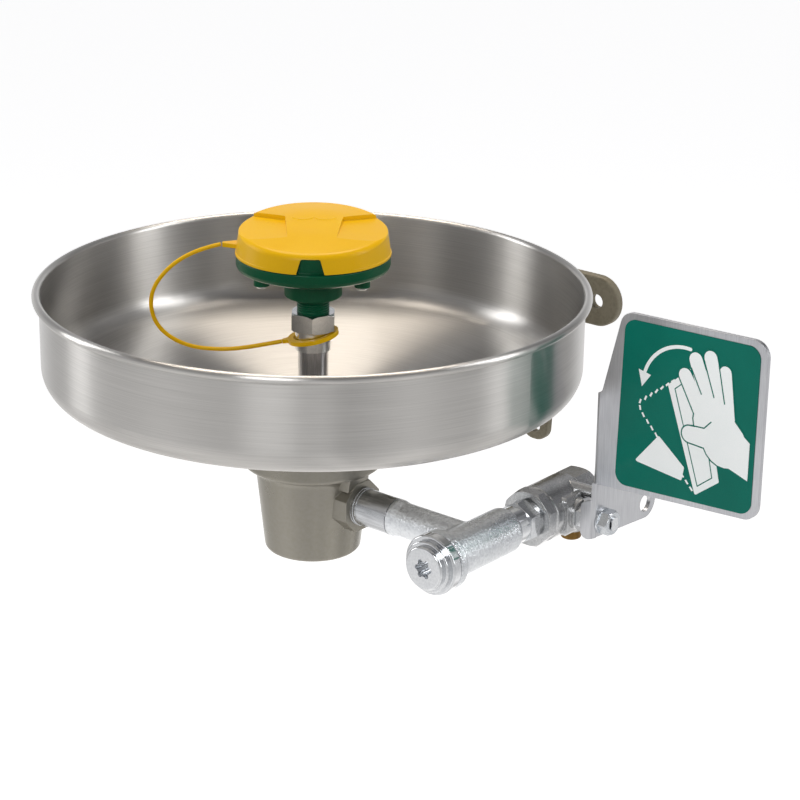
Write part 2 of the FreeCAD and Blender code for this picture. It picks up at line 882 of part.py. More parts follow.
def dust_cover():
    """Lift-off cap, higher at the back: a notch in front, two finger recesses and a lug for the tether."""
    skirt = turned(
        [
            (41.4, cover_rim),
            (cover_rim_radius, cover_rim, 0.3),
            (cover_rim_radius, cover_rim + 1.3, 0.3),
            (42.8, cover_rim + 1.5),
            (39.2, 45),
            (0, 45),
            (0, 31.0),
            (19.0, 31.0, 120.0),
            (40.4, 26.9, 1.2),
        ]
    )
    tilt = math.radians(cover_tilt)
    lid = turned(
        [(0, -20), (46.0, -20), (41.6, -0.8, 4.6), (19.0, 1.8, 150.0), (0, 1.8)],
        Vector(0, 0, cover_top),
        Vector(0, -math.sin(tilt), math.cos(tilt)),
    )
    notch = plate_xz([(-8, 17), (8, 17), (5.2, 26.4, 1.2), (-5.2, 26.4, 1.2)], -50, 14)
    cap = skirt.common(lid).cut([notch, finger_recess(-1), finger_recess(1)])
    for side in (-1, 1):
        centre = Vector(side * 6.4, 8.6, cover_top + 2.3)
        middle = centre + Vector(0, -3.2, -0.3)
        rib = Part.Wire(Part.Arc(centre - X * 5.6, middle, centre + X * 5.6).toShape())
        section = Part.Wire(Part.makeCircle(0.7, centre - X * 5.6, Vector(0.8, -0.6, 0)))
        cap = cap.fuse(rib.makePipeShell([section], True, False))
    lug = plate_xy([(-41.9, -4.5), (-50.2, -1.3), (-50.2, 1.3), (-41.9, 4.5)], 21.1, 2.4)
    return joined(cap, lug)


def tether_ring():
    """Ring of the tether, loose and tilted on the coupling's collar."""
    ring = pipe(14.4, 11.0, Vector(0, 0, -1.2), Vector(0, 0, 1.2))
    lug = plate_xy([(-13.2, -2.6), (-17.6, -1.2), (-17.6, 1.2), (-13.2, 2.6)], -1.1, 2.2)
    ring = joined(ring, lug)
    ring.Placement = Placement(Vector(0, 0, ring_level), Rotation(Y, -ring_tilt))
    return ring


def tether_strap():
    """Moulded strap: straight runs joined by the largest arcs that they allow."""
    points = [Vector(across, 0, up) for across, up in strap_route]
    corners = [(points[0].x, points[0].z)]
    smallest = 1e9
    for before, here, after in zip(points, points[1:], points[2:]):
        turn = (here - before).getAngle(after - here)
        shorter = min((here - before).Length, (after - here).Length)
        radius = 0.45 * shorter / math.tan(turn / 2)
        smallest = min(smallest, radius)
        corners.append((here.x, here.z, radius))
    corners.append((points[-1].x, points[-1].z))
    path = rounded_wire(corners, lambda across, up: Vector(across, 0, up), closed=False)
    first = (points[1] - points[0]).normalize()
    section = Part.Wire(Part.makeCircle(strap_radius, points[0], first))
    tube = path.makePipeShell([section], True, False)
    ideal = math.pi * strap_radius**2 * path.Length
    filled = tube.Volume / ideal
    print(f"strap length {path.Length:.1f}, least radius {smallest:.1f}, volume {filled:.4f} of ideal")
    return tube


on_head = (
    head_body,
    spray_plate,
    head_gasket,
    flow_control,
    head_screws,
    dust_cover,
    riser_coupling,
    tether_ring,
    tether_strap,
)

fixed = (
    bowl,
    drain_grate,
    drain_gasket,
    grate_screws,
    drain_casting,
    wall_plate,
    bracket_arm,
    bracket_screws,
    supply_nipple,
    strainer_body,
    strainer_plug,
    plug_gasket,
    strainer_screen,
    valve_nipple,
    valve_body,
    valve_end_cap,
    bleed_plug,
    valve_ball,
    ball_seats,
    valve_stem,
    stem_packing,
    gland_nut,
    handle_lever,
    handle_washer,
    handle_nut,
    flag_label,
    riser_pipe,
)

os.makedirs("parts", exist_ok=True)
for make in on_head + fixed:
    piece = make()
    if make in on_head:
        piece.rotate(Vector(0, 0, 0), Z, head_turn)
    piece.translate(Vector(0, -bowl_reach, rim_height))
    good = piece.isValid() and all(solid.isClosed() for solid in piece.Solids)
    print(f"{make.__name__}: {len(piece.Solids)} solid(s), {piece.Volume / 1000:.2f} cm3, valid {good}")
    piece.exportStep(f"parts/{make.__name__}.step")
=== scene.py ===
# %% [markdown]
# # An emergency eye and face wash
#
# A stainless bowl hangs on the wall. A capped spray head stands in it, and a push flag on a ball valve turns the
# water on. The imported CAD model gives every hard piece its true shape, so this lesson is mostly about finishes.
# It adds the few things that the CAD leaves plain: the soft tether, the picture on the flag and small marks.

import bpy
import bmesh
import itertools
import math
from mathutils import Matrix, Vector


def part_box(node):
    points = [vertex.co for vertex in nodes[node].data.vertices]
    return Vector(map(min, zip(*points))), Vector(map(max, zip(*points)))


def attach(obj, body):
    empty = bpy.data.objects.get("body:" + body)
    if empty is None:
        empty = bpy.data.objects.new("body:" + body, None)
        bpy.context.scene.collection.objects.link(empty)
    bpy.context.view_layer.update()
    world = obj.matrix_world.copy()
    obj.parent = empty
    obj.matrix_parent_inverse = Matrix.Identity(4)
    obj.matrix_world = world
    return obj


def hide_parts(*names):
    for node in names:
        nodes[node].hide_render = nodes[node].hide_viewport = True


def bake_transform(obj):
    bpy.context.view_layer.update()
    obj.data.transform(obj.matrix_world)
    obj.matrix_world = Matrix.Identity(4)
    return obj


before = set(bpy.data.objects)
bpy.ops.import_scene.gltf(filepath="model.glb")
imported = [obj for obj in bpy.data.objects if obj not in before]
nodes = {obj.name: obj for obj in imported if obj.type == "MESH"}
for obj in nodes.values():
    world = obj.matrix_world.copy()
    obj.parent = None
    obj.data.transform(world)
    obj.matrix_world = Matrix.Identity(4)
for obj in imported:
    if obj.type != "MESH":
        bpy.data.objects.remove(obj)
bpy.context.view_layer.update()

# %% [markdown]
# ## Where things are
#
# The frame's origin is on the wall, midway between the two upper holes. The bowl's upright axis and its rim matter for
# most of what follows, and both are read from the bowl's own box. The head is turned on its riser, so that its notch
# looks to the user's right. That turn is a design value, and the tether lies in the upright plane that it gives.

# %% Key lines and the head's turn
bowl_low, bowl_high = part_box("bowl")
axis_x = (bowl_low.x + bowl_high.x) / 2
axis_y = (bowl_low.y + bowl_high.y) / 2
rim_z = bowl_high.z
head_turn = math.radians(39.4)
across = Vector((math.cos(head_turn), math.sin(head_turn), 0))
print(f"bowl axis at x {axis_x:.4f}, y {axis_y:.4f}, rim at z {rim_z:.4f}")


def about_bowl(out, up):
    """A point in the upright plane that the tether lies in: out from the axis, up from the rim."""
    return Vector((axis_x, axis_y, rim_z)) + across * out + Vector((0, 0, up))


# %% [markdown]
# ## Camera
#
# A product picture like this is taken from a step away with a long lens, so that the bowl's rim stays a clean
# ellipse. The camera stands on the user's right and looks down into the bowl. A tiny roll keeps the rim level.

# %% Camera
camera_data = bpy.data.cameras.new("camera")
camera_data.lens = 108
camera_data.sensor_width = 36
camera = bpy.data.objects.new("camera", camera_data)
bpy.context.scene.collection.objects.link(camera)
eye = Vector((axis_x + 0.8459, axis_y - 0.9526, rim_z + 0.3973))
looking = Vector((-0.59615, 0.72587, -0.34309)).normalized()
level = looking.cross(Vector((0, 0, 1))).normalized()
overhead = level.cross(looking)
roll = math.radians(0.871)
right_hand = level * math.cos(roll) + overhead * math.sin(roll)
upward = overhead * math.cos(roll) - level * math.sin(roll)
turn = Matrix((right_hand, upward, -looking)).transposed()
camera.matrix_world = Matrix.Translation(eye) @ turn.to_4x4()
bpy.context.scene.camera = camera
print("camera stands", round((eye - Vector((axis_x, axis_y, rim_z))).length, 3), "m from the bowl")

# %% [markdown]
# ## Colours and nodes
#
# Colours are written as the hex values that a paint chart would give. Shaders want linear light, so one function
# converts them. A second small function adds a node, sets its values and colour stops, and links its inputs. Every
# material below uses both, so that a recipe reads like a list of steps.


# %% Helpers for materials
def colour(code):
    """An sRGB hex code as linear red, green, blue and alpha."""
    parts = [int(code[i : i + 2], 16) / 255 for i in (0, 2, 4)]
    linear = [c / 12.92 if c <= 0.04045 else ((c + 0.055) / 1.055) ** 2.4 for c in parts]
    return (*linear, 1.0)


def add(tree, kind, values=None, links=None, stops=(), **settings):
    """Adds a node. Values and links go to inputs by name or number, and a colour ramp has (position, hex) stops."""
    node = tree.nodes.new(kind)
    for name, value in settings.items():
        setattr(node, name, value)
    for name, value in (values or {}).items():
        node.inputs[name].default_value = value
    for name, source in (links or {}).items():
        tree.links.new(source, node.inputs[name])
    while stops and len(node.color_ramp.elements) < len(stops):
        node.color_ramp.elements.new(0.5)
    for i, (position, code) in enumerate(stops):
        node.color_ramp.elements[i].position = position
        node.color_ramp.elements[i].color = colour(code)
    return node


def new_material(name, **surface):
    """A material with one Principled shader. Underscores in an input's name stand for spaces."""
    material = bpy.data.materials.new(name)
    material.use_nodes = True
    shader = material.node_tree.nodes["Principled BSDF"]
    for key, value in surface.items():
        shader.inputs[key.replace("_", " ")].default_value = value
    return material, material.node_tree, shader


print("brushed steel in linear light:", [round(c, 3) for c in colour("CAC8C5")])

# %% [markdown]
# ## Spun and brushed stainless steel
#
# The bowl is 304 stainless sheet, spun on a lathe and then brushed while it turns. The grit leaves fine lines round
# the bowl, about 0.2 mm apart. They stretch every reflection across them, which gives the soft upright bands on the
# wall and the fans of light on the floor. An anisotropic shader does the same, with its tangent round the bowl's axis
# and a quarter turn, because the stretch runs across the lines. The lines themselves are noise that is slow round
# the axis and fast along it. They are drawn 0.6 mm apart, because finer ones would vanish at this distance. Noise
# takes its place round the axis from a unit direction, because an angle would leave a seam. The drain's grate is
# punched from the same sheet and is a little darker and coarser, with lines drawn 0.9 mm apart.


# %% Brushed stainless, round an axis
def brushed_round(name, tint, gloss, centre, lines_mm, depth):
    """Metal brushed while it turned about an upright axis through centre."""
    material, tree, shader = new_material(
        name, Metallic=1.0, Roughness=gloss, Anisotropic=0.93, Anisotropic_Rotation=0.25
    )
    place = add(tree, "ShaderNodeTexCoord")
    centred = add(
        tree, "ShaderNodeMapping", {"Location": (-centre[0], -centre[1], 0)}, {"Vector": place.outputs["Object"]}
    )
    split = add(tree, "ShaderNodeSeparateXYZ", links={"Vector": centred.outputs["Vector"]})
    flat = add(tree, "ShaderNodeCombineXYZ", links={"X": split.outputs["X"], "Y": split.outputs["Y"]})
    radius = add(tree, "ShaderNodeVectorMath", links={0: flat.outputs["Vector"]}, operation="LENGTH")
    unit = add(tree, "ShaderNodeVectorMath", links={0: flat.outputs["Vector"]}, operation="NORMALIZE")
    slow = add(tree, "ShaderNodeVectorMath", {"Scale": 2.2}, {0: unit.outputs["Vector"]}, operation="SCALE")
    along = add(
        tree, "ShaderNodeMath", links={0: radius.outputs["Value"], 1: split.outputs["Z"]}, operation="SUBTRACT"
    )
    fast = add(tree, "ShaderNodeMath", {1: 1000 / lines_mm}, {0: along.outputs["Value"]}, operation="MULTIPLY")
    rise = add(tree, "ShaderNodeCombineXYZ", links={"Z": fast.outputs["Value"]})
    spot = add(
        tree, "ShaderNodeVectorMath", links={0: slow.outputs["Vector"], 1: rise.outputs["Vector"]}, operation="ADD"
    )
    noise = {"Scale": 1.0, "Detail": 4.0, "Roughness": 0.65}
    lines = add(tree, "ShaderNodeTexNoise", noise, {"Vector": spot.outputs["Vector"]})
    height = lines.outputs["Fac"]
    tinted = add(tree, "ShaderNodeValToRGB", links={"Fac": height}, stops=[(0.3, tint[0]), (0.7, tint[1])])
    tree.links.new(tinted.outputs["Color"], shader.inputs["Base Color"])
    bump = add(tree, "ShaderNodeBump", {"Strength": depth, "Distance": 0.0001}, {"Height": height})
    tree.links.new(bump.outputs["Normal"], shader.inputs["Normal"])
    tangent = add(tree, "ShaderNodeTangent", direction_type="RADIAL", axis="Z")
    tree.links.new(tangent.outputs["Tangent"], shader.inputs["Tangent"])
    return material


bowl_steel = brushed_round("spun_stainless", ("BAB8B5", "CAC8C5"), 0.32, (axis_x, axis_y), 0.6, 0.03)
grate_steel = brushed_round("punched_stainless", ("A5A29D", "C4C1BC"), 0.34, (axis_x, axis_y), 0.9, 0.08)
print("materials so far:", [m.name for m in bpy.data.materials])

# %% [markdown]
# ## Brushed sheet, chrome and castings
#
# The handle is bent from sheet that was brushed on a belt, so its lines run straight up. Plated parts come in three
# states here. The plug and the hexagons were machined before plating, and are nearly mirrors. The valve is a
# forging, dulled by its scale. The strainer is a sand casting, and lumps of about 1.6 mm stand out under its chrome.
# Pipes are drawn, so their marks run along them. Screws, washer and nut are zinc plated, which is thinner and bluer
# than chrome, and the bleed plug is bare turned brass, dark with age and bright at its edges. Brush lines and drawing
# marks are about 0.2 mm apart on real metal and are drawn at 0.5 to 0.7 mm, because finer ones would not show.

# %% [markdown]
# A Bevel node rounds the shading of every sharp CAD edge by a few tenths of a millimetre, which is what catches the
# light on real metal. Where its normal differs from the true one there is an edge, so the same node also tells where
# paint and plating wear. One recipe then serves metals, paints and plastics: a grain and a broader smudge tint the
# surface, the smudge makes its shine uneven, and the grain stands out by a depth in millimetres.


# %% One recipe for worn surfaces
# A Mix node for colours has its two colours at these inputs, and its result at this output.
mix_a, mix_b, mix_result = 6, 7, 2


def rounded_edges(tree, radius_mm):
    """A bevelled normal, and a mask that is white on edges."""
    bevel = add(tree, "ShaderNodeBevel", {"Radius": radius_mm / 1000}, samples=4)
    true = add(tree, "ShaderNodeNewGeometry")
    normals = {0: bevel.outputs["Normal"], 1: true.outputs["Normal"]}
    same = add(tree, "ShaderNodeVectorMath", links=normals, operation="DOT_PRODUCT")
    edge = add(tree, "ShaderNodeMapRange", {"From Min": 0.995, "From Max": 0.9}, {"Value": same.outputs["Value"]})
    return bevel.outputs["Normal"], edge.outputs["Result"]


def finished(name, tints, gloss, grain_mm, depth_mm, edge=None, edge_mm=0.35, stretch=(1, 1, 1), **surface):
    """Metal, paint or plastic whose grain tints it, dulls it unevenly and stands out a little."""
    material, tree, shader = new_material(name, **surface)
    place = add(tree, "ShaderNodeTexCoord")
    size = tuple(1000 / grain_mm * part for part in stretch)
    sized = add(tree, "ShaderNodeMapping", {"Scale": size}, {"Vector": place.outputs["Object"]})
    grain = add(tree, "ShaderNodeTexNoise", {"Scale": 1.0, "Detail": 3.0}, {"Vector": sized.outputs["Vector"]})
    smudge = add(tree, "ShaderNodeTexNoise", {"Scale": 28.0, "Detail": 5.0}, {"Vector": place.outputs["Object"]})
    both = add(tree, "ShaderNodeMath", links={0: grain.outputs["Fac"], 1: smudge.outputs["Fac"]})
    mixed = add(tree, "ShaderNodeMath", {1: 0.5}, {0: both.outputs["Value"]}, operation="MULTIPLY")
    stops = [(0.38, tints[0]), (0.62, tints[1])]
    tint = add(tree, "ShaderNodeValToRGB", links={"Fac": mixed.outputs["Value"]}, stops=stops).outputs["Color"]
    dull = add(
        tree,
        "ShaderNodeMapRange",
        {"From Min": 0.35, "From Max": 0.65, "To Min": gloss[0], "To Max": gloss[1]},
        {"Value": smudge.outputs["Fac"]},
    )
    tree.links.new(dull.outputs["Result"], shader.inputs["Roughness"])
    normal, worn = rounded_edges(tree, edge_mm)
    if edge:
        patchy = add(tree, "ShaderNodeMath", links={0: worn, 1: grain.outputs["Fac"]}, operation="MULTIPLY")
        rubbed = {0: patchy.outputs["Value"], mix_a: tint}
        tint = add(tree, "ShaderNodeMix", {mix_b: colour(edge)}, rubbed, data_type="RGBA").outputs[mix_result]
    tree.links.new(tint, shader.inputs["Base Color"])
    bump = add(
        tree,
        "ShaderNodeBump",
        {"Strength": 1.0, "Distance": depth_mm / 1000},
        {"Height": grain.outputs["Fac"], "Normal": normal},
    )
    tree.links.new(bump.outputs["Normal"], shader.inputs["Normal"])
    return material


print("recipe ready")

# %% Metals
sheet_steel = finished(
    "belt_brushed_sheet", ("BDBEC2", "D4D5D8"), (0.28, 0.38), 0.5, 0.008, stretch=(1, 1, 0.03), Metallic=1.0
)
chrome = finished("turned_chrome", ("D2D4D7", "E2E4E6"), (0.1, 0.2), 1.4, 0.006, Metallic=1.0)
forging = finished("chromed_forging", ("AFB0B1", "D0D1D2"), (0.2, 0.32), 0.9, 0.05, edge="E8E8E8", Metallic=1.0)
sand_casting = finished(
    "chromed_sand_casting", ("CDD0D4", "ECEFF2"), (0.24, 0.36), 1.6, 0.48, edge_mm=0.6, Metallic=1.0
)
drawn_pipe = finished(
    "drawn_pipe", ("ABADB0", "D2D4D7"), (0.14, 0.26), 0.7, 0.012, stretch=(0.06, 1, 1), Metallic=1.0
)
riser_steel = finished(
    "drawn_riser_pipe", ("A9A9AC", "CFCFD2"), (0.16, 0.26), 0.7, 0.01, stretch=(1, 1, 0.06), Metallic=1.0
)
zinc = finished("zinc_plated_steel", ("B7BBC0", "D6DADE"), (0.18, 0.3), 0.8, 0.015, edge="ECEEF0", Metallic=1.0)
brass = finished("turned_brass", ("5E4A2A", "86683A"), (0.22, 0.34), 0.8, 0.02, edge="D8B878", Metallic=1.0)
print("metals:", len(bpy.data.materials))

# %% [markdown]
# The drain casting is iron, sprayed with a grey-beige enamel that holds metal flake, so it is partly metallic. The
# spray leaves an orange-peel skin with a period of about 2 mm. The wall bracket has a plainer enamel, more olive and
# less shiny, and thin at its rim, where the paler primer shows.

# %% Enamels
casting_paint = finished(
    "sprayed_enamel", ("928E83", "97938A"), (0.26, 0.36), 2.1, 0.035, edge="A9A598", edge_mm=0.8, Metallic=0.75
)
bracket_paint = finished(
    "olive_enamel", ("69624F", "7C7563"), (0.4, 0.55), 1.9, 0.1, edge="B5AF9C", edge_mm=0.8, Metallic=0.2
)
print("enamels:", casting_paint.name, bracket_paint.name)

# %% [markdown]
# ## Plastics and rubber
#
# Head, cover and tether are moulded in polypropylene and ABS. Their moulds were spark-eroded, which leaves a fine
# matte texture of about 0.3 mm. It is drawn at 0.6 mm, because a finer one would vanish at this distance. Light
# enters such plastic a little, so the yellow has a trace of subsurface scattering. Specular levels are low, because
# a broad white studio would otherwise wash the colours out. Seats, packing and the flow disc are turned from PTFE,
# waxy and off-white. Two gaskets are moulded rubber, black and dull, and one is pressed fibre, reddish and rough.

# %% Plastics and rubber
inside_yellow = {
    "Subsurface_Weight": 0.03,
    "Subsurface_Radius": (0.004, 0.002, 0.0005),
    "Subsurface_Scale": 1.0,
    "Specular_IOR_Level": 0.2,
}
yellow = finished(
    "moulded_yellow", ("E4B000", "E8B700"), (0.3, 0.42), 0.6, 0.008, edge="FBD04A", edge_mm=0.4, **inside_yellow
)
green = finished(
    "moulded_green", ("00482D", "005436"), (0.28, 0.4), 0.6, 0.01, edge="1C6A4C", edge_mm=0.4, Specular_IOR_Level=0.25
)
white_plastic = finished("turned_ptfe", ("D9D8D2", "EDECE7"), (0.35, 0.5), 0.8, 0.01)
rubber = finished("moulded_rubber", ("141414", "1E1E1D"), (0.55, 0.7), 0.7, 0.02)
fibre = finished("pressed_fibre", ("5A2E20", "71402E"), (0.6, 0.75), 0.5, 0.03)
print("plastics:", yellow.name, green.name, white_plastic.name, rubber.name, fibre.name)

# %% [markdown]
# ## The printed plate
#
# The plate on the flag is screen printed: a flat green ink, a picture in white, and the faintest clear coat over both.
# The inks are satin rather than glossy, so the green stays deep. They are even, with a mottle from the screen's mesh.
# A real mesh is about 0.1 mm wide, and its mottle is drawn at 0.5 mm, since a finer one would not show.

# %% Printed inks
clear = {"Coat_Weight": 0.06, "Coat_Roughness": 0.08}
plate_ink = finished(
    "screened_green", ("00695A", "007262"), (0.3, 0.4), 0.5, 0.003, edge_mm=0.15, Specular_IOR_Level=0.12, **clear
)
white_ink = finished("screened_white", ("F4FAF9", "FDFFFF"), (0.3, 0.42), 0.5, 0.003, edge_mm=0.1, **clear)
print("inks:", plate_ink.name, white_ink.name)

# %% [markdown]
# ## Dress the CAD pieces
#
# Every CAD piece gets its finish in its own material slot, hidden ones too, because the cover lifts and other people
# take parts like this apart. The tether is the one piece left out, and the next step makes it anew.

# %% Dress the CAD pieces
finishes = {
    bowl_steel: ["bowl"],
    grate_steel: ["drain_grate", "strainer_screen"],
    casting_paint: ["drain_casting"],
    bracket_paint: ["wall_plate", "bracket_arm"],
    rubber: ["drain_gasket", "head_gasket"],
    fibre: ["plug_gasket"],
    zinc: ["grate_screws", "bracket_screws", "head_screws", "handle_washer", "handle_nut"],
    drawn_pipe: ["supply_nipple"],
    riser_steel: ["riser_pipe"],
    sand_casting: ["strainer_body"],
    chrome: ["strainer_plug", "valve_nipple", "gland_nut", "valve_stem", "valve_ball", "riser_coupling"],
    forging: ["valve_body", "valve_end_cap"],
    brass: ["bleed_plug"],
    sheet_steel: ["handle_lever"],
    plate_ink: ["flag_label"],
    green: ["head_body", "spray_plate"],
    yellow: ["dust_cover", "tether_ring"],
    white_plastic: ["ball_seats", "stem_packing", "flow_control"],
}
for material, names in finishes.items():
    for name in names:
        nodes[name].data.materials.clear()
        nodes[name].data.materials.append(material)
dressed = {name for names in finishes.values() for name in names}
print("left plain:", sorted(set(nodes) - dressed))

# %% [markdown]
# ## Tether
#
# The cover must not get lost, so a moulded strap ties it to a ring on the coupling. It is short and springy: it
# leaves the ring level, bows outwards and comes back to the cover's lug. A NURBS curve with a few control points has
# that even, springy line. The points are (out from the axis, up from the rim) in millimetres. It is made a mesh tube.
# The real strap bends when the cover lifts off: its lower end stays with the ring and its upper end follows the
# cover.

# %% Tether
strap_radius = 0.0012
route = [
    (-17.5, -33.7),
    (-31.0, -36.6),
    (-50.0, -39.4),
    (-72.0, -37.5),
    (-88.5, -26.0),
    (-91.5, -7.0),
    (-80.0, 9.5),
    (-63.0, 19.5),
    (-51.0, 22.3),
]
line = bpy.data.curves.new("strap_line", "CURVE")
line.dimensions = "3D"
line.resolution_u = 16
spline = line.splines.new("NURBS")
spline.points.add(len(route) - 1)
for point, (out, up) in zip(spline.points, route):
    point.co = (*about_bowl(out / 1000, up / 1000), 1.0)
spline.order_u = 3
spline.use_endpoint_u = True
line_object = bpy.data.objects.new("strap_line", line)
bpy.context.scene.collection.objects.link(line_object)


def as_mesh(obj):
    """What an object looks like with its modifiers and bevel, as a new mesh."""
    bpy.context.view_layer.update()
    return bpy.data.meshes.new_from_object(obj.evaluated_get(bpy.context.evaluated_depsgraph_get()))


centre_line = as_mesh(line_object)
strap_path = [v.co.copy() for v in centre_line.vertices]
strap_length = sum((b - a).length for a, b in zip(strap_path, strap_path[1:]))
line.bevel_depth = strap_radius
line.bevel_resolution = 5
line.use_fill_caps = True
strap = bpy.data.objects.new("tether_strap_moulded", as_mesh(line_object))
bpy.context.scene.collection.objects.link(strap)
bpy.data.objects.remove(line_object)
for polygon in strap.data.polygons:
    polygon.use_smooth = True
strap.data.materials.clear()
strap.data.materials.append(yellow)
print(f"strap is {strap_length * 1000:.1f} mm long, with {len(strap.data.polygons)} faces")

# %% [markdown]
# ## Helpers for small meshes
#
# Every added piece keeps its object at the origin and its place in its mesh, as the CAD nodes do. One helper lets a
# finished mesh ride on a body. Another runs a Geometry Nodes tree, keeps its result as a plain mesh and drops the
# modifier. Two more hold what the trees share: how points are spread along a line, and how every tree ends.


# %% Helpers for meshes
def mounted(name, mesh, body):
    """A finished mesh as a piece that rides on a body."""
    obj = bpy.data.objects.new(name, mesh)
    bpy.context.scene.collection.objects.link(obj)
    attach(obj, body)
    print(f"{name}: {len(mesh.polygons)} faces")
    return obj


def from_nodes(name, build, values, base, body):
    """Runs a node tree on a base mesh and keeps the result as a piece. Values are its named inputs."""
    tree = bpy.data.node_groups.new(name, "GeometryNodeTree")
    tree.interface.new_socket("Geometry", in_out="INPUT", socket_type="NodeSocketGeometry")
    tree.interface.new_socket("Geometry", in_out="OUTPUT", socket_type="NodeSocketGeometry")
    sockets = {}
    for label in values:
        sockets[label] = tree.interface.new_socket(label, in_out="INPUT", socket_type="NodeSocketFloat")
    build(tree)
    carrier = bpy.data.objects.new("carrier", base)
    bpy.context.scene.collection.objects.link(carrier)
    modifier = carrier.modifiers.new("nodes", "NODES")
    modifier.node_group = tree
    for label, value in values.items():
        modifier[sockets[label].identifier] = value
    result = as_mesh(carrier)
    carrier.modifiers.remove(modifier)
    bpy.data.objects.remove(carrier)
    return mounted(name, result, body)


def dots_along(tree, given, step):
    """Points at even steps along the base mesh's line."""
    line = add(tree, "GeometryNodeMeshToCurve", links={"Mesh": given.outputs["Geometry"]})
    steps = {"Curve": line.outputs["Curve"], "Length": given.outputs[step]}
    return add(tree, "GeometryNodeCurveToPoints", links=steps, mode="LENGTH")


def end_tree(tree, geometry, material):
    """Ends a tree: instances are made real, then painted."""
    real = add(tree, "GeometryNodeRealizeInstances", links={"Geometry": geometry})
    painted = add(tree, "GeometryNodeSetMaterial", {"Material": material}, {"Geometry": real.outputs["Geometry"]})
    add(tree, "NodeGroupOutput", links={"Geometry": painted.outputs["Geometry"]})


def path_mesh(points, name):
    """A chain of edges through points."""
    mesh = bpy.data.meshes.new(name)
    mesh.from_pydata([tuple(p) for p in points], [(i, i + 1) for i in range(len(points) - 1)], [])
    return mesh


print("helpers ready for threads, weld and picture")

# %% [markdown]
# ## Pipe threads
#
# Where the supply nipple enters the casting, the last turns of its thread stay in sight. A half-inch pipe thread has
# 14 turns to the inch, so its pitch is 1.81 mm. The node tree sweeps a small round ridge along a helix, which gives
# the turns their slant. Separate rings would look wrong from the side.

# %% Threads
nipple_low, nipple_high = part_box("supply_nipple")
nipple_z = (nipple_low.z + nipple_high.z) / 2
pipe_radius = (nipple_high.z - nipple_low.z) / 2
thread_pitch = 0.00181
thread_turns = 2.4
boss_face = axis_x + 0.0375  # where the casting's side boss ends


def helix(start, axis, radius, pitch, turns, steps=40):
    """Points on a helix about an axis through start."""
    side = axis.orthogonal().normalized()
    other = axis.cross(side)
    for i in range(int(turns * steps) + 1):
        angle = 2 * math.pi * i / steps
        yield start + axis * (pitch * i / steps) + (side * math.cos(angle) + other * math.sin(angle)) * radius


def ridge_tree(tree):
    """Sweeps a round ridge along the base mesh's line."""
    given = add(tree, "NodeGroupInput")
    line = add(tree, "GeometryNodeMeshToCurve", links={"Mesh": given.outputs["Geometry"]})
    ring = add(tree, "GeometryNodeCurvePrimitiveCircle", {"Resolution": 8}, {"Radius": given.outputs["Ridge"]})
    curves = {"Curve": line.outputs["Curve"], "Profile Curve": ring.outputs["Curve"]}
    swept = add(tree, "GeometryNodeCurveToMesh", {"Fill Caps": True}, curves)
    end_tree(tree, swept.outputs["Mesh"], drawn_pipe)


thread_start = Vector((boss_face - 0.001, axis_y, nipple_z))
thread_points = list(helix(thread_start, Vector((1, 0, 0)), pipe_radius, thread_pitch, thread_turns))
from_nodes("nipple_thread", ridge_tree, {"Ridge": 0.00042}, path_mesh(thread_points, "thread"), "frame")

# %% [markdown]
# ## Weld at the wall plate
#
# The bracket's arm is welded to its plate. A weld made by hand is a row of overlapping ripples. The tree lays small
# round beads on the line of the seam, mostly sunk in the metal, each a little different in size, with a fixed seed.


# %% Weld bead
def weld_tree(tree):
    """Lays beads of slightly different sizes along the base mesh's line."""
    given = add(tree, "NodeGroupInput")
    dots = dots_along(tree, given, "Ripple")
    drop = add(tree, "GeometryNodeMeshIcoSphere", {"Subdivisions": 2}, {"Radius": given.outputs["Bead"]})
    # For plain numbers, a Random Value node has its least and most at inputs 2 and 3, and its result at output 1.
    size = add(tree, "FunctionNodeRandomValue", {2: 0.85, 3: 1.15, "Seed": 4}, data_type="FLOAT")
    drops = {"Points": dots.outputs["Points"], "Instance": drop.outputs["Mesh"], "Scale": size.outputs[1]}
    beads = add(tree, "GeometryNodeInstanceOnPoints", links=drops)
    end_tree(tree, beads.outputs["Instances"], bracket_paint)


arm_low, arm_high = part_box("bracket_arm")
seam_y = arm_high.y - 0.0004  # just in front of the plate
web = 0.005  # half the web's thickness
shelf = 0.0145  # half the shelf's width at the wall
under = arm_high.z - 0.006  # the shelf is 6 mm thick
foot = arm_low.z + 0.004  # the seam stops short of the web's lower end
seams = {
    "weld_left": [(-web, foot), (-web, under), (-shelf, under), (-shelf, arm_high.z)],
    "weld_right": [(web, foot), (web, under), (shelf, under), (shelf, arm_high.z)],
    "weld_top": [(-shelf, arm_high.z), (shelf, arm_high.z)],
}
for name, corners in seams.items():
    seam = path_mesh([(x, seam_y, z) for x, z in corners], name)
    from_nodes(name, weld_tree, {"Ripple": 0.0016, "Bead": 0.0015}, seam, "frame")

# %% [markdown]
# ## Picture on the flag
#
# The plate tells anyone near to push the flag. The picture is generic: a hand, the flag before and after the push, and
# an arrow between them. Screen-printed ink is thin, so each shape is a slip of a few hundredths of a millimetre.
# Shapes lie at slightly different heights, so that no two faces coincide. They are made from three kinds of
# outline: bars with round ends, arcs and plain polygons.

# %% Picture helpers
plate_low, plate_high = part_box("flag_label")
plate_wide = plate_high.x - plate_low.x
plate_tall = plate_high.z - plate_low.z
print(f"plate is {plate_wide * 1000:.1f} by {plate_tall * 1000:.1f} mm")
layers = itertools.count(1)
layer_step = 0.000002
sunk = 0.00001  # how far a slip reaches into the plate


